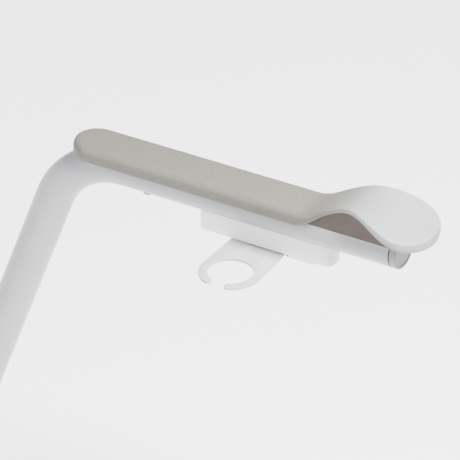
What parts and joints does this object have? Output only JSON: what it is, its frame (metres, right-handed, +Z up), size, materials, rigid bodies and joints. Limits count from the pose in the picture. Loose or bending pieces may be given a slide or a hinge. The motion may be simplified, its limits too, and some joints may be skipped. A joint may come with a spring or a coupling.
{
  "type": "swivelling stool armrest",
  "caption": "Swivelling forearm rest for a dental stool: bent tube arm, moulded pad with a raised palm rest, and a fold-away ring holder in a box under the arm.",
  "frame": {"origin": "centre of the mounting face of the swivel base, on the swivel axis", "axes": "+Z up along the swivel axis, +X along the arm towards the palm rest at rest, +Y to the side away from the ring holder"},
  "size_m": [0.6259, 0.1417, 0.5469],
  "materials": {
    "cast_aluminium": "bead blasted, clear anodised",
    "acetal": "natural acetal, turned",
    "black_steel": "black oxide",
    "powder_coat": "satin light grey powder coat",
    "turned_steel": "zinc plated, turned",
    "cap_plastic": "moulded, fine satin",
    "rubber": "moulded",
    "carrier_plastic": "moulded, fine grain",
    "brass": "turned brass",
    "pad_skin": "integral-skin polyurethane foam, fine leather grain",
    "white_plastic": "moulded, satin",
    "plate_coat": "satin light grey powder coat"
  },
  "bodies": {
    "base": {"base_housing": "cast_aluminium", "lower_bush": "acetal", "upper_bush": "acetal", "friction_plug": "acetal", "friction_screw": "black_steel"},
    "arm": {"arm_tube": "powder_coat", "swivel_spigot": "turned_steel", "retaining_washer": "turned_steel", "retaining_screw": "black_steel", "top_strip": "powder_coat", "end_cap": "cap_plastic", "cap_gasket": "rubber", "pad_carrier": "carrier_plastic", "carrier_inserts": "brass", "arm_pad": "pad_skin", "rear_pad_screw": "black_steel", "front_pad_screws": "turned_steel", "saddle_spacers": "turned_steel", "box_chassis": "turned_steel", "holder_box": "white_plastic", "box_screws": "turned_steel", "holder_stop": "white_plastic", "stop_screws": "turned_steel", "stop_buffer": "rubber", "pivot_bolt": "turned_steel", "upper_friction_washer": "acetal", "lower_friction_washer": "acetal", "spring_washer": "turned_steel"},
    "holder": {"holder_plate": "plate_coat"}
  },
  "joints": [
    {"name": "arm_swivel", "type": "hinge", "parent": "base", "child": "arm", "pos_m": [0, 0, 0.03], "axis": [0, 0, 1], "range_deg": [-90, 90]},
    {"name": "holder_swing", "type": "hinge", "parent": "arm", "child": "holder", "pos_m": [0.385, 0, 0.45865], "axis": [0, 0, 1], "range_deg": [-90, 0]}
  ]
}
